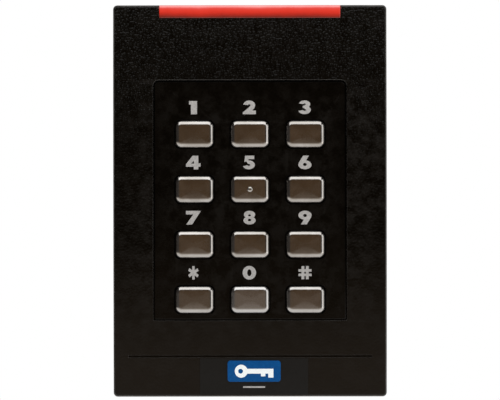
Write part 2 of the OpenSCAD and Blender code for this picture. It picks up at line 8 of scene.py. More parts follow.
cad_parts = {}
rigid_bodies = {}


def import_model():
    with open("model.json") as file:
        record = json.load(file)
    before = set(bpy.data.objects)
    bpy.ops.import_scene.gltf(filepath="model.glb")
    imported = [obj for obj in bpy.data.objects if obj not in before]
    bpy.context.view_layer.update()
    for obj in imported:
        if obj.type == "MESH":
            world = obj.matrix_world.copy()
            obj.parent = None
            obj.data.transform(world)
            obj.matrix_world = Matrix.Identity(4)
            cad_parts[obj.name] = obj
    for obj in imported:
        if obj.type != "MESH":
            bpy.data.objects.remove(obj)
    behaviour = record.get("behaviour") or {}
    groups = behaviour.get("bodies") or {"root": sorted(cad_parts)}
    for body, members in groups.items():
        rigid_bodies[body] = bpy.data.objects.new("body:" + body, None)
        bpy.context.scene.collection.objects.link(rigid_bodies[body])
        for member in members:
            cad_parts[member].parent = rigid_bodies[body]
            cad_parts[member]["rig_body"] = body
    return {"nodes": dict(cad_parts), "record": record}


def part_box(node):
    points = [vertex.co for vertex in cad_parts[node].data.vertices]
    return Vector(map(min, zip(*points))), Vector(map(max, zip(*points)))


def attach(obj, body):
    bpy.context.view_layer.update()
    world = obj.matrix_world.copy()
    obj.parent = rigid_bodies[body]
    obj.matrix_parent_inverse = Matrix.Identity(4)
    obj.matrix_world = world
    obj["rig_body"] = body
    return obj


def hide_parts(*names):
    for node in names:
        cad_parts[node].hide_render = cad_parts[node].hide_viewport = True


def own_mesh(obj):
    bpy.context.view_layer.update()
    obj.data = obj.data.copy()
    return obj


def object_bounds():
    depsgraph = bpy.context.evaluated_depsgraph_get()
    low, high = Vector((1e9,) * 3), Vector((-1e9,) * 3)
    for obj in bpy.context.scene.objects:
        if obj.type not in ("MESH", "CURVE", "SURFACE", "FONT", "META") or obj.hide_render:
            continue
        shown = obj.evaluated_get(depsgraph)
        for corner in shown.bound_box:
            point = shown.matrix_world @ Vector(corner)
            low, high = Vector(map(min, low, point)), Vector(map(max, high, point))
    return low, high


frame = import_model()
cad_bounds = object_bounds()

MM = 0.001
MERGE = 1e-6
FLAT = math.radians(0.05)
SHARP = math.radians(25)
SMOOTH = math.radians(32)
KEYS = ["1", "2", "3", "4", "5", "6", "7", "8", "9", "star", "0", "hash"]

# ------------------------------------------------------------------ node trees


def add(tree, kind, inputs=None, **settings):
    """A shader node, with its settings, and its inputs set to values or linked to outputs."""
    node = tree.nodes.new("ShaderNode" + kind)
    for name, value in settings.items():
        setattr(node, name, value)
    for name, value in (inputs or {}).items():
        if isinstance(value, bpy.types.NodeSocket):
            tree.links.new(value, node.inputs[name])
        else:
            node.inputs[name].default_value = value
    return node


def spread(tree, value, low, high, to_low=0.0, to_high=1.0):
    """The value's stretch from low to high, spread from to_low to to_high."""
    names = ("Value", "From Min", "From Max", "To Min", "To Max")
    return add(tree, "MapRange", dict(zip(names, (value, low, high, to_low, to_high)))).outputs[0]


def times(tree, a, b):
    return add(tree, "Math", {0: a, 1: b}, operation="MULTIPLY").outputs[0]


def plus(tree, a, b, **settings):
    return add(tree, "Math", {0: a, 1: b}, operation="ADD", **settings).outputs[0]


def absolute(tree, a):
    return add(tree, "Math", {0: a}, operation="ABSOLUTE").outputs[0]


def parts_of(tree, vector):
    """The X, Y and Z of a vector."""
    return add(tree, "SeparateXYZ", {0: vector}).outputs


def noise(tree, where, scale, **inputs):
    return add(tree, "TexNoise", {"Vector": where, "Scale": scale, **inputs}).outputs[0]


def surface(tree, output):
    """A property of the surface, such as its normal or how far it bulges."""
    return add(tree, "NewGeometry").outputs[output]


def effect(name, inputs, outputs):
    """An empty node group with named inputs and outputs, and its two end nodes."""
    group = bpy.data.node_groups.new(name, "ShaderNodeTree")
    for label, kind in inputs.items():
        group.interface.new_socket(label, in_out="INPUT", socket_type="NodeSocket" + kind)
    for label, kind in outputs.items():
        group.interface.new_socket(label, in_out="OUTPUT", socket_type="NodeSocket" + kind)
    ends = group.nodes.new("NodeGroupInput"), group.nodes.new("NodeGroupOutput")
    return group, ends[0].outputs, ends[1].inputs


# Scales of the grain's slow drift and of its grit, against its pebbles, and the grit's share of the height
DRIFT_SCALE = 0.45
GRIT_SCALE = 2.0
GRIT_SHARE = 0.25
# How far the rubs left by hands are drawn out across the height, and their scale against the patches
RUB_STRETCH = 9.0
RUB_SCALE = 14.0
# Scales of the uneven parts of worn edges, of the painted highlight on rounded edges, and of the dust that
# also paints a highlight on upward faces
WEAR_SCALE = 260.0
EDGE_HIGHLIGHT_SCALE = 340.0
DUST_HIGHLIGHT_SCALE = 900.0


def moulded_grain():
    """The pebbled skin of spark-eroded plastic: round grains with finer grit, and a slow drift of shade."""
    group, given, result = effect(
        "moulded_grain", {"Vector": "Vector", "Scale": "Float"}, {"Height": "Float", "Shade": "Float"}
    )
    where, scale = given["Vector"], given["Scale"]
    pebbles = add(group, "TexVoronoi", {"Vector": where, "Scale": scale}, feature="SMOOTH_F1")
    drift = noise(group, where, times(group, scale, DRIFT_SCALE), Detail=4.0, Roughness=0.6)
    dome = spread(group, pebbles.outputs["Distance"], 0.15, 0.6, 1.0, 0.0)
    grit = noise(group, where, times(group, scale, GRIT_SCALE), Detail=2.0)
    height = add(group, "Mix", {"Factor": GRIT_SHARE, "A": dome, "B": grit})
    group.links.new(height.outputs[0], result["Height"])
    group.links.new(spread(group, drift, 0.35, 0.65), result["Shade"])
    return group


def handling():
    """Faint greasy patches and fine rubs left by hands."""
    group, given, result = effect(
        "handling", {"Vector": "Vector", "Scale": "Float"}, {"Patches": "Float", "Rubs": "Float"}
    )
    where, scale = given["Vector"], given["Scale"]
    patches = noise(group, where, scale, Detail=5.0, Distortion=0.6)
    stretched = add(group, "Mapping", {"Vector": where, "Scale": (1.0, 1.0, RUB_STRETCH)}).outputs[0]
    rubs = noise(group, stretched, times(group, scale, RUB_SCALE), Detail=6.0, Roughness=0.7)
    group.links.new(spread(group, patches, 0.38, 0.66), result["Patches"])
    group.links.new(spread(group, rubs, 0.35, 0.7), result["Rubs"])
    return group


def mask_effect(name, shape):
    """A node group that gives the mask that shape(group, where) makes, times an amount."""
    group, given, result = effect(name, {"Vector": "Vector", "Amount": "Float"}, {"Mask": "Float"})
    group.links.new(times(group, shape(group, given["Vector"]), given["Amount"]), result["Mask"])
    return group


def edge_wear(group, where):
    """Convex edges rubbed unevenly."""
    edge = spread(group, surface(group, "Pointiness"), 0.505, 0.56)
    uneven = noise(group, where, WEAR_SCALE, Detail=6.0, Roughness=0.65)
    return times(group, edge, spread(group, uneven, 0.42, 0.62))


def painted_edge_highlight(group, where):
    """A painted highlight on the rounded edges of a moulding, paler than its flat faces."""
    square_on = absolute(group, parts_of(group, surface(group, "Normal"))["Y"])
    turned = spread(group, square_on, 0.95, 0.7)
    not_side = spread(group, square_on, 0.1, 0.3)
    streaks = noise(group, where, EDGE_HIGHLIGHT_SCALE, Detail=5.0, Roughness=0.6)
    return times(group, times(group, turned, not_side), spread(group, streaks, 0.4, 0.6, 0.65, 1.0))


def dust_and_top_highlight(group, where):
    """Dust that lies on whatever faces up, thicker in some places; it also paints a highlight along upward
    faces and edges.
    """
    up = spread(group, parts_of(group, surface(group, "Normal"))["Z"], 0.35, 1.0)
    clumps = noise(group, where, DUST_HIGHLIGHT_SCALE, Detail=8.0, Roughness=0.75)
    return times(group, up, spread(group, clumps, 0.4, 0.75))


GRAIN = moulded_grain()
HANDLING = handling()
WEAR = mask_effect("edge_wear", edge_wear)
# Painted highlight on rounded edges, where they turn away from the front
EDGE_HIGHLIGHT = mask_effect("painted_edge_highlight", painted_edge_highlight)
# Dust on upward faces, also a painted highlight there
DUST_AND_HIGHLIGHT = mask_effect("dust_and_top_highlight", dust_and_top_highlight)

# ------------------------------------------------------------------ materials


def blank(name):
    """A new material, its tree, its Principled shader and its Object coordinates."""
    material = bpy.data.materials.new(name)
    material.use_nodes = True
    tree = material.node_tree
    where = add(tree, "TexCoord").outputs["Object"]
    return material, tree, tree.nodes["Principled BSDF"], where


def use(tree, group, where, **inputs):
    """The outputs of a shared effect, used in a material."""
    return add(tree, "Group", {"Vector": where, **inputs}, node_tree=group).outputs


def set_sockets(shader, sockets):
    for name, value in sockets.items():
        shader.inputs[name].default_value = value


def emboss(tree, shader, height, depth):
    """Raises the surface by a height from 0 to 1, to a depth in metres."""
    bump = add(tree, "Bump", {"Height": height, "Distance": depth})
    tree.links.new(bump.outputs[0], shader.inputs["Normal"])


def tint(tree, factor, a, b):
    """A mix of two colours, each given as three numbers or as an output."""
    colours = [c if isinstance(c, bpy.types.NodeSocket) else (*c, 1.0) for c in (a, b)]
    mix = add(tree, "Mix", {"Factor": factor}, data_type="RGBA")
    for socket, colour in zip((mix.inputs[6], mix.inputs[7]), colours):
        if isinstance(colour, bpy.types.NodeSocket):
            tree.links.new(colour, socket)
        else:
            socket.default_value = colour
    return mix.outputs[2]


# Colour of dust, which also serves as a painted highlight on upward faces
DUST_HIGHLIGHT_COLOUR = (0.3, 0.28, 0.25)


def finish(
    name, dark, light, rough, grain=1500, depth=0.02, wear=0.0, worn=None, rim=None, dust_highlight=0.0, patch=60,
    rise=None, painted_light_low=None, **sockets
):
    """A material with grain and handling everywhere, and where they are given, wear on edges and on top dust
    that also stands as a painted highlight.
    dark and light are the colours it varies between, and rough the lowest and highest roughness.
    grain and patch are the scales of its grain and of its handling, and depth the grain's depth in mm.
    rim is the colour of the painted highlight on its rounded edges, and the colour given with two heights is
    painted light that it turns to between them.
    rise makes the grain deeper with height: the two heights, and the share of its depth at each."""
    material, tree, shader, where = blank(name)
    skin = use(tree, GRAIN, where, Scale=grain)
    hands = use(tree, HANDLING, where, Scale=patch)
    colour = tint(tree, skin["Shade"], dark, light)
    height = parts_of(tree, where)["Z"]
    # Painted light: the colour turns to the given colour between the two heights
    if painted_light_low:
        colour = tint(tree, spread(tree, height, *painted_light_low[1:]), colour, painted_light_low[0])
    # Painted highlight on rounded edges, wear on edges, and dust that also paints a highlight on upward faces
    for group, amount, over in ((EDGE_HIGHLIGHT, 1.0, rim), (WEAR, wear, worn), (DUST_AND_HIGHLIGHT, dust_highlight, dust_highlight and DUST_HIGHLIGHT_COLOUR)):
        if over:
            colour = tint(tree, use(tree, group, where, Amount=amount)["Mask"], colour, over)
    tree.links.new(colour, shader.inputs["Base Color"])
    tree.links.new(spread(tree, hands["Patches"], 0.0, 1.0, *rough), shader.inputs["Roughness"])
    relief = skin["Height"]
    if rise:
        relief = times(tree, relief, spread(tree, height, *rise))
    emboss(tree, shader, relief, depth * MM)
    set_sockets(shader, sockets)
    return material


KEY_BLOOM = (0.41, 0.39, 0.365), (0.52, 0.505, 0.49)
# Colour of a painted reflection that pales the bottom row of keys, most of all its middle key
KEY_ROW_REFLECTION = (0.55, 0.545, 0.54)
KEY_RUBBED = (0.66, 0.65, 0.64)
# Colour of painted shade on each key below the panel's front, in the gap round it
KEY_GAP_SHADE = (0.022, 0.019, 0.016)
KEY_ROUGH = 0.13, 0.19
ROW_REFLECTION_ROUGH = 0.06
GAP_SHADE_ROUGH = 0.4
OUTER_KEYS_REFLECTION = 0.35
GAP_SHADE_TOP, GAP_SHADE_FOOT = -0.1 * MM, 0.15 * MM


def key_metal():
    """Cast keys with a satin face: a bloom in patches, fine rubs, a duller bottom row with a painted
    reflection that pales it, most of all in its middle key, and painted shade below the front of the panel,
    where the gap round each key shows dark."""
    material, tree, shader, where = blank("key_metal")
    hands = use(tree, HANDLING, where, Scale=170.0)
    worn = use(tree, WEAR, where, Amount=0.6)["Mask"]
    place = parts_of(tree, where)
    # Painted reflection: the bottom row paler and duller, its outer keys less so
    lowest = spread(tree, place["Z"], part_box("key_0")[1].z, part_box("key_8")[0].z, 1.0, 0.0)
    inner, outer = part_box("key_0")[1].x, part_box("key_hash")[0].x
    row_reflection = times(tree, lowest, spread(tree, absolute(tree, place["X"]), inner, outer, 1.0, OUTER_KEYS_REFLECTION))
    panel_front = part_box("keypad_panel")[0].y
    # Painted shade: the key darker below the front of the panel
    gap_shade = spread(tree, place["Y"], panel_front + GAP_SHADE_TOP, panel_front + GAP_SHADE_FOOT)
    colour = tint(tree, hands["Patches"], *KEY_BLOOM)
    for mask, over in ((row_reflection, KEY_ROW_REFLECTION), (worn, KEY_RUBBED), (gap_shade, KEY_GAP_SHADE)):
        colour = tint(tree, mask, colour, over)
    tree.links.new(colour, shader.inputs["Base Color"])
    satin = spread(tree, hands["Rubs"], 0.0, 1.0, *KEY_ROUGH)
    dull = plus(tree, times(tree, row_reflection, ROW_REFLECTION_ROUGH), times(tree, gap_shade, GAP_SHADE_ROUGH))
    tree.links.new(plus(tree, satin, dull), shader.inputs["Roughness"])
    emboss(tree, shader, hands["Rubs"], 0.0012 * MM)
    set_sockets(shader, {"Metallic": 1.0})
    return material


# Height of the bar's lit front, and how far behind its front the glow begins and ends to weaken, and to what
GLOW_H = 4.05 * MM
GLOW_NEAR, GLOW_FAR = 0.2 * MM, 1.2 * MM
GLOW_BEHIND = 0.55
GLOW_UNEVEN = 0.05
# Glow colours up the bar: its pale pink top is a painted highlight over the real glow
GLOW_AND_HIGHLIGHT_STOPS = [
    (0.0, (0.04, 0.004, 0.002)), (0.11, (0.10, 0.010, 0.006)), (0.19, (0.24, 0.010, 0.004)),
    (0.27, (0.33, 0.012, 0.004)), (0.42, (0.53, 0.020, 0.008)), (0.60, (0.62, 0.034, 0.018)),
    (0.73, (0.64, 0.055, 0.045)), (0.80, (0.68, 0.13, 0.12)), (0.88, (0.74, 0.22, 0.21)),
    (1.0, (0.80, 0.38, 0.37)),
]
# Base colours from the bar's foot to its top, paler at the top with the painted highlight
LENS_DARK, LENS_LIGHT = (0.15, 0.006, 0.004), (0.28, 0.01, 0.007)


def light_lens():
    """Clear red plastic lit from behind: palest along its rounded front edge, where a painted highlight lies
    on the glow, dim where it meets the case.
    """
    material, tree, shader, where = blank("light_lens")
    low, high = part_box("light_bar")[1].z - GLOW_H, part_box("light_bar")[1].z
    place = parts_of(tree, where)
    height = spread(tree, place["Z"], low, high)
    lens_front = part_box("light_bar")[0].y
    behind = spread(tree, place["Y"], lens_front + GLOW_NEAR, lens_front + GLOW_FAR, 1.0, GLOW_BEHIND)
    height = add(tree, "Math", {0: height, 1: behind}, operation="MINIMUM").outputs[0]
    haze = spread(tree, noise(tree, where, 180.0, Detail=3.0), 0.3, 0.7, -GLOW_UNEVEN, GLOW_UNEVEN)
    level = plus(tree, height, haze, use_clamp=True)
    glow = add(tree, "ValToRGB", {"Fac": level})
    ramp = glow.color_ramp
    while len(ramp.elements) < len(GLOW_AND_HIGHLIGHT_STOPS):
        ramp.elements.new(0.5)
    for element, (position, colour) in zip(ramp.elements, GLOW_AND_HIGHLIGHT_STOPS):
        element.position = position
        element.color = (*colour, 1.0)
    tree.links.new(glow.outputs[0], shader.inputs["Emission Color"])
    tree.links.new(tint(tree, level, LENS_DARK, LENS_LIGHT), shader.inputs["Base Color"])
    emboss(tree, shader, use(tree, GRAIN, where, Scale=700.0)["Height"], 0.004 * MM)
    set_sockets(
        shader, {"Emission Strength": 1.0, "Roughness": 0.3, "Coat Weight": 1.0, "Coat Roughness": 0.12}
    )
    return material


BOARD_MASK, BOARD_TRACK = (0.008, 0.06, 0.03), (0.03, 0.16, 0.07)
BLACK, WHITE = (0, 0, 0, 1), (1, 1, 1, 1)


def circuit_board():
    """Green solder mask over copper tracks, which show through it a shade lighter."""
    material, tree, shader, where = blank("circuit_board")
    flat = add(tree, "Mapping", {"Vector": where, "Rotation": (math.pi / 2, 0.0, 0.0)}).outputs[0]
    pattern = {"Vector": flat, "Scale": 260.0, "Mortar Size": 0.06}
    tracks = add(tree, "TexBrick", {**pattern, "Color1": BLACK, "Color2": BLACK, "Mortar": WHITE})
    cloudy = spread(tree, noise(tree, where, 90.0, Detail=3.0), 0.45, 0.55)
    shown = times(tree, tracks.outputs["Color"], cloudy)
    tree.links.new(tint(tree, shown, BOARD_MASK, BOARD_TRACK), shader.inputs["Base Color"])
    emboss(tree, shader, shown, 0.02 * MM)
    set_sockets(shader, {"Roughness": 0.3, "Coat Weight": 0.4, "Coat Roughness": 0.12})
    return material


WIRE_DARK, WIRE_LIGHT = (0.28, 0.07, 0.02), (0.75, 0.32, 0.12)
WIRE_ROUGH = 0.45, 0.22


def wound_copper():
    """Enamelled wire, wound in close turns."""
    material, tree, shader, where = blank("copper_winding")
    wound = {"Vector": where, "Scale": 900.0, "Distortion": 1.5, "Detail": 2.0}
    turns = add(tree, "TexWave", wound, bands_direction="X").outputs["Fac"]
    tree.links.new(tint(tree, turns, WIRE_DARK, WIRE_LIGHT), shader.inputs["Base Color"])
    tree.links.new(spread(tree, turns, 0.0, 1.0, *WIRE_ROUGH), shader.inputs["Roughness"])
    emboss(tree, shader, turns, 0.08 * MM)
    set_sockets(shader, {"Metallic": 0.8})
    return material


def metal(name, dark, light, rough, **more):
    settings = {"grain": 2600, "depth": 0.003, "Metallic": 1.0, "wear": 0.5, "worn": (0.85, 0.84, 0.82)}
    return finish(name, dark, light, rough, **{**settings, **more})


COVER_WORN = (0.025, 0.023, 0.021)
# Colours of the painted highlight on the rounded edges of the case and of the back parts
CASE_EDGE_HIGHLIGHT = (0.13, 0.127, 0.122)
BACK_EDGE_HIGHLIGHT = (0.035, 0.034, 0.033)
MATERIALS = {
    # Painted light makes the case paler low down
    "case_plastic": finish(
        "case_plastic", (0.0010, 0.0007, 0.0002), (0.0015, 0.0011, 0.0004), (0.185, 0.195),
        grain=1500, depth=0.05, wear=0.4, worn=COVER_WORN, rim=CASE_EDGE_HIGHLIGHT, dust_highlight=0.06,
        rise=(-0.035, 0.055, 0.3, 2.5), painted_light_low=((0.0112, 0.0084, 0.0058), -0.012, -0.052),
        **{"Specular IOR Level": 0.18},
    ),
    # Painted light makes the panel paler low down
    "panel_plastic": finish(
        "panel_plastic", (0.0008, 0.0005, 0.0001), (0.0013, 0.0009, 0.0003), (0.19, 0.21),
        grain=2400, depth=0.016, wear=0.3, worn=COVER_WORN, painted_light_low=((0.0050, 0.0037, 0.0024), 0.0, -0.036),
        **{"Specular IOR Level": 0.15},
    ),
    "legend_ink": finish(
        "legend_ink", (0.44, 0.435, 0.43), (0.55, 0.545, 0.54), (0.5, 0.6), grain=3200, depth=0.006,
    ),
    "light_lens": light_lens(),
    "label_film": finish(
        "label_film", (0.0055, 0.0052, 0.0047), (0.0080, 0.0076, 0.0070), (0.28, 0.34),
        grain=2600, depth=0.006, **{"Specular IOR Level": 0.3},
    ),
    "badge_blue": finish(
        "badge_blue", (0.001, 0.080, 0.285), (0.002, 0.098, 0.335), (0.28, 0.36),
        grain=2600, depth=0.004, **{"Coat Weight": 0.05, "Coat Roughness": 0.15, "Specular IOR Level": 0.15},
    ),
    # Its emission is painted light, making the white print glow brighter than the lamps make it
    "badge_white": finish(
        "badge_white", (0.92, 0.93, 0.93), (0.98, 0.99, 0.99), (0.4, 0.5), grain=3000, depth=0.004,
        **{"Emission Color": (0.17, 0.215, 0.225, 1.0), "Emission Strength": 1.0},
    ),
    "key_metal": key_metal(),
    "carbon_pill": finish("carbon_pill", (0.006, 0.006, 0.006), (0.02, 0.02, 0.02), (0.7, 0.85), depth=0.02),
    "silicone": finish(
        "silicone", (0.42, 0.43, 0.42), (0.52, 0.53, 0.52), (0.5, 0.62),
        depth=0.02, **{"Subsurface Weight": 0.2, "Subsurface Scale": 0.001},
    ),
    "circuit_board": circuit_board(),
    "gold_plating": metal("gold_plating", (0.75, 0.5, 0.18), (0.9, 0.65, 0.28), (0.22, 0.32)),
    "led_white": finish("led_white", (0.72, 0.70, 0.55), (0.85, 0.83, 0.68), (0.25, 0.35), depth=0.004),
    "zinc_steel": metal("zinc_steel", (0.52, 0.53, 0.55), (0.70, 0.70, 0.70), (0.28, 0.4)),
    "socket_ivory": finish("socket_ivory", (0.66, 0.62, 0.5), (0.75, 0.71, 0.58), (0.4, 0.5), depth=0.008),
    "ribbon_film": finish("ribbon_film", (0.7, 0.66, 0.58), (0.8, 0.76, 0.68), (0.3, 0.4), depth=0.004),
    "chip_black": finish(
        "chip_black", (0.010, 0.010, 0.011), (0.022, 0.022, 0.023), (0.5, 0.62), depth=0.012,
    ),
    "copper_winding": wound_copper(),
    "tinned_can": metal("tinned_can", (0.6, 0.6, 0.6), (0.75, 0.75, 0.76), (0.25, 0.4)),
    "seal_rubber": finish("seal_rubber", (0.010, 0.010, 0.011), (0.02, 0.02, 0.02), (0.65, 0.8), depth=0.02),
    "tray_plastic": finish(
        "tray_plastic", (0.010, 0.0095, 0.009), (0.018, 0.017, 0.016), (0.45, 0.58),
        depth=0.03, wear=0.5, worn=COVER_WORN, rim=BACK_EDGE_HIGHLIGHT,
    ),
    "terminal_green": finish(
        "terminal_green", (0.012, 0.16, 0.05), (0.02, 0.22, 0.075), (0.35, 0.48),
        depth=0.008, wear=0.5, worn=(0.1, 0.35, 0.18),
    ),
    "sensor_lens": finish(
        "sensor_lens", (0.02, 0.001, 0.003), (0.04, 0.003, 0.006), (0.12, 0.2), depth=0.003,
    ),
    "plate_plastic": finish(
        "plate_plastic", (0.012, 0.0115, 0.011), (0.022, 0.021, 0.020), (0.45, 0.6),
        grain=1300, depth=0.04, wear=0.6, worn=(0.06, 0.058, 0.056), rim=BACK_EDGE_HIGHLIGHT, dust_highlight=0.1,
    ),
    "insert_brass": metal("insert_brass", (0.5, 0.36, 0.14), (0.68, 0.5, 0.22), (0.3, 0.42)),
    "lock_steel": metal("lock_steel", (0.45, 0.45, 0.46), (0.6, 0.6, 0.61), (0.25, 0.4)),
}
SLOT_OF = {part["node"]: part["material_slot"] for part in frame["record"]["subparts"]}
for node, cad in frame["nodes"].items():
    for slot in cad.material_slots:
        slot.material = MATERIALS[SLOT_OF[node]]

# ------------------------------------------------------------------ pieces


def body_of(node):
    return frame["nodes"][node]["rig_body"]


def piece(name, mesh, node, body=None):
    """Makes a mesh into a piece that rides where a CAD node does and has its finish."""
    bmesh.ops.recalc_face_normals(mesh, faces=mesh.faces)
    data = bpy.data.meshes.new(name)
    mesh.to_mesh(data)
    mesh.free()
    data.polygons.foreach_set("use_smooth", [True] * len(data.polygons))
    data.set_sharp_from_angle(angle=SMOOTH)
    data.materials.append(MATERIALS[SLOT_OF[node]])
    shown = bpy.data.objects.new(name, data)
    bpy.context.scene.collection.objects.link(shown)
    even = shown.modifiers.new("even_normals", "WEIGHTED_NORMAL")
    even.keep_sharp = True
    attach(shown, body or body_of(node))
    return shown


def copy_of(node):
    """A merged copy of a CAD node's mesh, with its flat faces whole."""
    mesh = bmesh.new()
    mesh.from_mesh(frame["nodes"][node].data)
    bmesh.ops.remove_doubles(mesh, verts=mesh.verts, dist=MERGE)
    bmesh.ops.dissolve_limit(mesh, angle_limit=FLAT, verts=mesh.verts, edges=mesh.edges)
    return mesh


def middle(edge):
    return (edge.verts[0].co + edge.verts[1].co) / 2


def round_over(mesh, radius, segments, where=None):
    """Rounds the sharp outer edges, or those of them for which where(edge) is true."""
    mesh.normal_update()
    edges = [
        e for e in mesh.edges
        if e.is_manifold and e.is_convex and e.calc_face_angle() > SHARP and (where is None or where(e))
    ]
    bmesh.ops.bevel(
        mesh, geom=edges, offset=radius, offset_type="OFFSET", affect="EDGES",
        segments=segments, profile=0.5, material=-1, clamp_overlap=False,
    )


def softened(node, *rounds, shape=None):
    """A piece that stands for a CAD node, with its outer edges rounded. Each round is a radius, its segments
    and which edges it takes, and shape is done to the mesh before them."""
    mesh = copy_of(node)
    if shape:
        shape(mesh)
    for round_ in rounds:
        round_over(mesh, *round_)
    made = piece(node + "_moulding", mesh, node)
    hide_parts(node)
    return made


# ------------------------------------------------------------------ case

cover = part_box("front_cover")
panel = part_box("keypad_panel")
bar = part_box("light_bar")
# How far from a piece's front, outline, upper edge or corners an edge can be and still belong there
FRONT_BAND = 2.6 * MM
OUTLINE = 1.2 * MM
POCKET_EDGE = 0.3 * MM
CORNERS = 2 * MM
PANEL_FRONT = 0.1 * MM
PANEL_FACE = 0.05 * MM
BAR_FACE = 0.5 * MM
# How far the panel is drawn in, how far the light bar stands out and laps over the case, and its height
PANEL_GAP = 0.28 * MM
BAR_PROUD = 0.35 * MM
BAR_LIP = 0.5 * MM
BAR_FRONT_H = 3.5 * MM


def from_outline(place, box):
    """How far a place is from the nearest side of a box, seen from the front."""
    low, high = box
    return min(place.x - low.x, high.x - place.x, place.z - low.z, high.z - place.z)


def in_front(edge):
    return middle(edge).y < cover[0].y + FRONT_BAND


def on_outline(edge):
    return in_front(edge) and from_outline(middle(edge), cover) < OUTLINE


def over_panel(edge):
    """The upper edge of the panel's pocket."""
    where = middle(edge)
    along = abs(where.z - panel[1].z) < POCKET_EDGE and abs(where.x) < panel[1].x - CORNERS
    return in_front(edge) and along


def round_panel(edge):
    """The panel's own outline, not the openings for the keys."""
    where = middle(edge)
    return where.y < panel[0].y + PANEL_FRONT and from_outline(where, panel) < OUTLINE


def on_panel_face(edge):
    return middle(edge).y < panel[0].y + PANEL_FACE


def draw_in(mesh):
    """Shrinks the panel's outline, so that a dark line shows between it and its pocket."""
    centre = (panel[0] + panel[1]) / 2
    size = panel[1] - panel[0]
    for vert in mesh.verts:
        x, z = vert.co.x - centre.x, vert.co.z - centre.z
        if abs(x) > size.x / 2 - CORNERS or abs(z) > size.z / 2 - CORNERS:
            vert.co.x = centre.x + x * (1 - 2 * PANEL_GAP / size.x)
            vert.co.z = centre.z + z * (1 - 2 * PANEL_GAP / size.z)


def stand_proud(mesh):
    """Moves the front face of the light bar forward, and its lower edge down over the case."""
    for vert in mesh.verts:
        if vert.co.y < bar[0].y + BAR_FACE:
            vert.co.y -= BAR_PROUD
            if vert.co.z < bar[1].z - BAR_FRONT_H / 2:
                vert.co.z -= BAR_LIP


def upper_front(edge):
    return middle(edge).y < bar[0].y + BAR_FACE and middle(edge).z > bar[1].z - BAR_FACE


softened("front_cover", (0.75 * MM, 5, on_outline), (0.3 * MM, 3, over_panel), (0.06 * MM, 1, in_front))
softened("keypad_panel", (0.25 * MM, 3, round_panel), (0.1 * MM, 2, on_panel_face), shape=draw_in)
softened("light_bar", (0.75 * MM, 5, upper_front), (0.2 * MM, 3), shape=stand_proud)
softened("badge", (0.12 * MM, 2))
softened("wall_plate", (0.2 * MM, 2))
softened("rear_tray", (0.2 * MM, 2))
softened("terminal_block", (0.15 * MM, 2))
softened("lock_screw", (0.12 * MM, 2))

# ------------------------------------------------------------------ keys


CORNER_SEGMENTS = 8
KEY_CORNER = 2.0 * MM
KEY_WALL = 1.5 * MM
HOLLOW_D = 2.4 * MM
FLANGE_T = 1.0 * MM
FLANGE_LIP = 0.6 * MM
ROLL_W = 1.15 * MM
ROLL_START, ROLL_END = math.radians(8), math.radians(70)
ROLL_STEPS = 10
SHOULDER_W = 0.45 * MM
SHOULDER_START = math.radians(1.5)
SHOULDER_STEPS = 4
FACE_CROWN = 0.05 * MM
FACE_STEPS = 6
DOT_R = 0.8 * MM


def rounded_block(box, corner):
    """A block that fills a box, with its four edges along y rounded."""
    low, high = box
    mesh = bmesh.new()
    bmesh.ops.create_cube(mesh, size=1.0)
    bmesh.ops.scale(mesh, vec=high - low, verts=mesh.verts)
    bmesh.ops.translate(mesh, vec=(low + high) / 2, verts=mesh.verts)
    upright = [e for e in mesh.edges if abs(e.verts[0].co.y - e.verts[1].co.y) > MERGE]
    bmesh.ops.bevel(
        mesh, geom=upright, offset=corner, offset_type="OFFSET", affect="EDGES",
        segments=CORNER_SEGMENTS, profile=0.5, material=-1,
    )
    return mesh


def end_face(mesh, sign):
    """The face at the front of a mesh for sign -1, or at its back for sign 1."""
    mesh.normal_update()
    return max(mesh.faces, key=lambda f: (round(f.normal.y * sign, 3), f.calc_area()))


def push(mesh, face, distance):
    """Carries a face along y, with walls behind it."""
    bmesh.ops.inset_individual(mesh, faces=[face], thickness=0.0)
    bmesh.ops.translate(mesh, vec=(0, distance, 0), verts=face.verts)


def arc(width, start, end, steps):
    """The steps of an arc from its steep outer end inwards, as how far each goes in and how far forward."""
    radius = width / (math.sin(end) - math.sin(start))
    angles = [end + (start - end) * i / steps for i in range(steps + 1)]
    return [
        (radius * (math.sin(a) - math.sin(b)), radius * (math.cos(b) - math.cos(a)))
        for a, b in zip(angles, angles[1:])
    ]


def key_mesh(low, high):
    """A key on its flange, hollow behind, with a rolled rim and a soft shoulder round a crowned face.
    low and high are the corners of the key's box, flange and all."""
    rim = [
        *arc(ROLL_W, ROLL_START, ROLL_END, ROLL_STEPS),
        *arc(SHOULDER_W, SHOULDER_START, ROLL_START, SHOULDER_STEPS),
    ]
    drop = sum(forward for inward, forward in rim)
    flange_y = high.y - FLANGE_T
    mesh = rounded_block((Vector((low.x, flange_y, low.z)), high), KEY_CORNER + FLANGE_LIP)
    back = end_face(mesh, 1)
    bmesh.ops.inset_individual(mesh, faces=[back], thickness=FLANGE_LIP + KEY_WALL)
    push(mesh, back, -HOLLOW_D)
    face = end_face(mesh, -1)
    bmesh.ops.inset_individual(mesh, faces=[face], thickness=FLANGE_LIP)
    push(mesh, face, low.y + drop + FACE_CROWN - flange_y)
    for inward, forward in rim:
        bmesh.ops.inset_individual(mesh, faces=[face], thickness=inward)
        bmesh.ops.translate(mesh, vec=(0, -forward, 0), verts=face.verts)
    centre = face.calc_center_median()
    for left in range(FACE_STEPS, 1, -1):
        size = (left - 1) / left
        push(mesh, face, -FACE_CROWN * (2 * left - 1) / FACE_STEPS ** 2)
        bmesh.ops.scale(mesh, vec=(size, 1, size), space=Matrix.Translation(-centre), verts=face.verts)
    return mesh


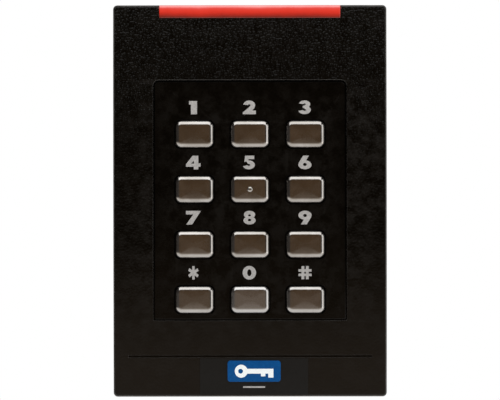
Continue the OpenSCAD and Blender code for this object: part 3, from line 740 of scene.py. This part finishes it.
def touch_dot(mesh, centre, foot):
    """Adds the small dome in the middle of a key's face, from foot to the front of the CAD key."""
    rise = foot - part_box("key_5")[0].y
    dome = bmesh.ops.create_uvsphere(mesh, u_segments=32, v_segments=16, radius=1.0)["verts"]
    bmesh.ops.scale(mesh, vec=(DOT_R, rise, DOT_R), verts=dome)
    bmesh.ops.translate(mesh, vec=(centre.x, foot, centre.z), verts=dome)


def key_cap(key):
    node = "key_" + key
    low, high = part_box(node)
    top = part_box("key_1")[0].y
    low = Vector((low.x, top, low.z))
    mesh = key_mesh(low, high)
    if key == "5":
        touch_dot(mesh, (low + high) / 2, top)
    cap = piece(node + "_cap", mesh, node)
    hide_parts(node)
    return cap


# ------------------------------------------------------------------ mat

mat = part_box("keypad_mat")
MAT_T = 1.2 * MM
NOSE_ROUND = 0.15 * MM
CORE_SEGMENTS = 48
MAT_CUT = 0.05 * MM
DOME_WALL = 0.6 * MM
DOME_INSET = 0.3 * MM
DOME_CORNER = 1.2 * MM
NOSE_GAP = 0.1 * MM
NOSE_H = 1.9 * MM
CORE_LIP = 0.3 * MM
SKIRT_LAP = 0.1 * MM
mat_top = mat[1].y - MAT_T


def mat_sheet():
    """The flat of the mat, with its openings, cut from under the domes."""
    mesh = copy_of("keypad_mat")
    cut = bmesh.ops.bisect_plane(
        mesh, geom=[*mesh.verts, *mesh.edges, *mesh.faces], dist=MERGE,
        plane_co=(0, mat_top + MAT_CUT, 0), plane_no=(0, -1, 0), clear_outer=True,
    )
    rim = [e for e in cut["geom_cut"] if isinstance(e, bmesh.types.BMEdge)]
    bmesh.ops.triangle_fill(mesh, use_beauty=True, use_dissolve=True, edges=rim, normal=(0, -1, 0))
    sheet = piece("mat_sheet", mesh, "keypad_mat")
    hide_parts("keypad_mat")


def dome_box(key):
    """The corners of a dome's outline, seen from the front, round the middle of its key."""
    low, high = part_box("key_" + key)
    edge = FLANGE_LIP + DOME_INSET
    return low.x + edge, high.x - edge, low.z + edge, high.z - edge


def dome_skirt(key):
    """The thin wall that a key's dome stands on."""
    left, right, bottom, top = dome_box(key)
    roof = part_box("key_" + key)[1].y + DOME_WALL
    corners = Vector((left, roof - SKIRT_LAP, bottom)), Vector((right, mat_top, top))
    mesh = rounded_block(corners, DOME_CORNER)
    ends = [end_face(mesh, -1), end_face(mesh, 1)]
    bmesh.ops.delete(mesh, geom=ends, context="FACES_ONLY")
    bmesh.ops.solidify(mesh, geom=mesh.faces, thickness=DOME_WALL)
    skirt = piece("mat_skirt_" + key, mesh, "keypad_mat")
    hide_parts("keypad_mat")
    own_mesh(skirt)


def dome_plunger(key):
    """The roof of a dome, the nose that holds it in its key, and the core over the contact pill."""
    left, right, bottom, top = dome_box(key)
    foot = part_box("key_" + key)[1].y
    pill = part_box("contact_pill_" + key)
    mesh = rounded_block((Vector((left, foot, bottom)), Vector((right, foot + DOME_WALL, top))), DOME_CORNER)
    nose = end_face(mesh, -1)
    step = KEY_WALL + NOSE_GAP - DOME_INSET
    bmesh.ops.inset_individual(mesh, faces=[nose], thickness=step)
    push(mesh, nose, -NOSE_H)
    round_over(mesh, NOSE_ROUND, 2)
    core_front, core_back = foot + DOME_WALL / 2, pill[0].y
    radius = (pill[1].x - pill[0].x) / 2 + CORE_LIP
    core = bmesh.ops.create_cone(
        mesh, cap_ends=True, segments=CORE_SEGMENTS, depth=core_back - core_front,
        radius1=radius, radius2=radius,
    )["verts"]
    bmesh.ops.rotate(mesh, verts=core, matrix=Matrix.Rotation(math.pi / 2, 3, "X"))
    centre = (pill[0] + pill[1]) / 2
    bmesh.ops.translate(mesh, verts=core, vec=(centre.x, (core_front + core_back) / 2, centre.z))
    plunger = piece("mat_plunger_" + key, mesh, "keypad_mat", "key_" + key)
    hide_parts("keypad_mat")


mat_sheet()
for key in KEYS:
    key_cap(key)
    dome_skirt(key)
    dome_plunger(key)

# ------------------------------------------------------------------ studio

PURE_WHITE = (1.0, 1.0, 1.0)
WALLS = (0.034, 0.030, 0.027)
AHEAD = (0.098, 0.056, 0.026)
GROUND = (0.95, 0.88, 0.80)
FLOOR_GLOW = (0.92, 0.89, 0.86)
FLOOR_HALF = 0.45
FLOOR_DROP = 0.13
CAMERA_LENS = 300
CAMERA_SENSOR = 36
CAMERA_RISE = 0.31 * MM
CAMERA_ROLL = math.radians(0.08)
VIEW_WIDTH = 154.95 * MM


def soft_box(name, place, aim, width, height, radiance, colour):
    """A rectangular light that the camera doesn't see, of the given radiance."""
    light = bpy.data.lights.new(name, "AREA")
    light.shape = "RECTANGLE"
    light.size, light.size_y = width, height
    light.energy = radiance * math.pi * width * height
    light.color = colour
    lamp = bpy.data.objects.new(name, light)
    lamp.location = place
    lamp.rotation_euler = (Vector(aim) - Vector(place)).to_track_quat("-Z", "Y").to_euler()
    lamp.visible_camera = False
    bpy.context.scene.collection.objects.link(lamp)
    return lamp


def sky():
    """White behind the object, and a dim warm room all round it for light and reflections, brownest straight
    ahead of its front and bright low down."""
    world = bpy.data.worlds.new("studio")
    world.use_nodes = True
    tree = world.node_tree
    tree.nodes.clear()
    seen = add(tree, "LightPath").outputs["Is Camera Ray"]
    towards = parts_of(tree, add(tree, "TexCoord").outputs["Generated"])
    ahead = spread(tree, towards["Y"], -0.90, -0.985)
    down = spread(tree, towards["Z"], -0.42, -0.04, 1.0, 0.0)
    room = tint(tree, down, tint(tree, ahead, WALLS, AHEAD), GROUND)
    both = add(tree, "Background", {"Color": tint(tree, seen, room, PURE_WHITE)})
    tree.links.new(both.outputs[0], add(tree, "OutputWorld").inputs[0])
    bpy.context.scene.world = world


def pale_floor(height):
    """A floor that looks white, throws soft light up and is clear when seen from below."""
    mesh = bmesh.new()
    bmesh.ops.create_grid(mesh, x_segments=1, y_segments=1, size=FLOOR_HALF)
    bmesh.ops.translate(mesh, vec=(0, 0, height), verts=mesh.verts)
    data = bpy.data.meshes.new("pale_floor")
    mesh.to_mesh(data)
    mesh.free()
    ground = bpy.data.objects.new("pale_floor", data)
    bpy.context.scene.collection.objects.link(ground)
    material = bpy.data.materials.new("pale_floor")
    material.use_nodes = True
    tree = material.node_tree
    tree.nodes.clear()
    seen = add(tree, "LightPath").outputs["Is Camera Ray"]
    lit = add(tree, "Emission", {"Color": tint(tree, seen, FLOOR_GLOW, PURE_WHITE)}).outputs[0]
    clear = add(tree, "BsdfTransparent").outputs[0]
    sided = add(tree, "MixShader", {0: surface(tree, "Backfacing"), 1: lit, 2: clear})
    tree.links.new(sided.outputs[0], add(tree, "OutputMaterial").inputs[0])
    data.materials.append(material)


sky()
pale_floor(cad_bounds[0][2] - FLOOR_DROP)
soft_box("overhead_box", (0.0, -0.46, 0.62), (0.0, -0.16, 0.0), 1.1, 1.0, 1.65, (1.0, 0.985, 0.97))
soft_box("right_box", (0.60, -0.34, 0.04), (0.0, -0.02, 0.0), 0.55, 0.7, 1.2, (1.0, 0.98, 0.96))

face_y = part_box("front_cover")[0].y
lens = bpy.data.cameras.new("camera")
lens.lens = CAMERA_LENS
lens.sensor_width = CAMERA_SENSOR
lens.clip_start = 0.01
camera = bpy.data.objects.new("camera", lens)
camera.location = (0.0, face_y - VIEW_WIDTH * CAMERA_LENS / CAMERA_SENSOR, CAMERA_RISE)
camera.rotation_euler = (math.pi / 2, CAMERA_ROLL, 0.0)
bpy.context.scene.collection.objects.link(camera)
bpy.context.scene.camera = camera
bpy.context.scene.view_settings.view_transform = "Standard"
